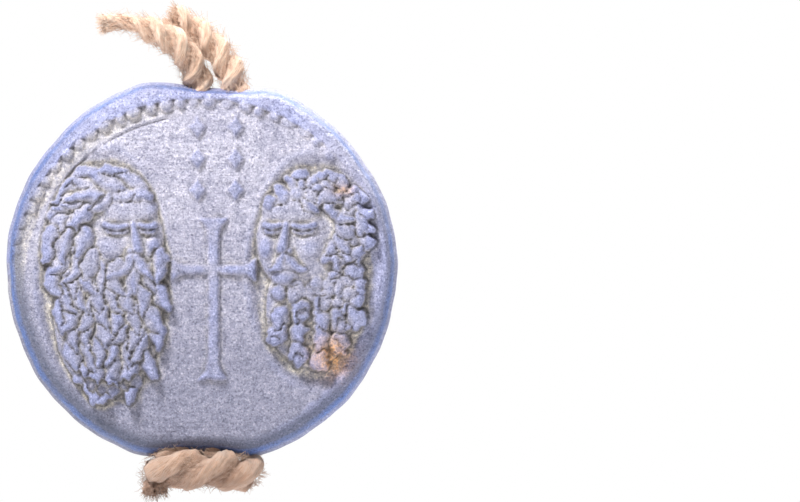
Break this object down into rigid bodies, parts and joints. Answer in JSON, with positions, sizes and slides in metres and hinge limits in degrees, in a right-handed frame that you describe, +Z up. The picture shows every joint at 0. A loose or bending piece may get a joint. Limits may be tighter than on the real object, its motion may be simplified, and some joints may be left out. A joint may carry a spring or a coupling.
{
  "type": "struck lead seal on a cord",
  "caption": "Round lead seal struck on both faces and pressed on two hemp cord strands, knotted below; two heads and a cross on one face, ornament rows and stars on the other.",
  "frame": {"origin": "where the two cord strands leave the flat at the top of the lead, midway between them at mid-thickness; the seal hangs upright from there", "axes": "+Z up along the hanging cord, -Y towards the obverse with the two heads, +Y towards the reverse, +X to the right of someone who looks at the obverse"},
  "size_m": [0.0382, 0.0082, 0.0484],
  "materials": {
    "lead": "dull, weathered",
    "hemp": "two-ply, fuzzy"
  },
  "bodies": {
    "root": {"obverse_lead_half": "lead", "reverse_lead_half": "lead", "left_cord_top": "hemp", "left_cord_run": "hemp", "left_cord_tail": "hemp", "right_cord_top": "hemp", "right_cord_run": "hemp", "right_cord_tail": "hemp"}
  },
  "joints": []
}
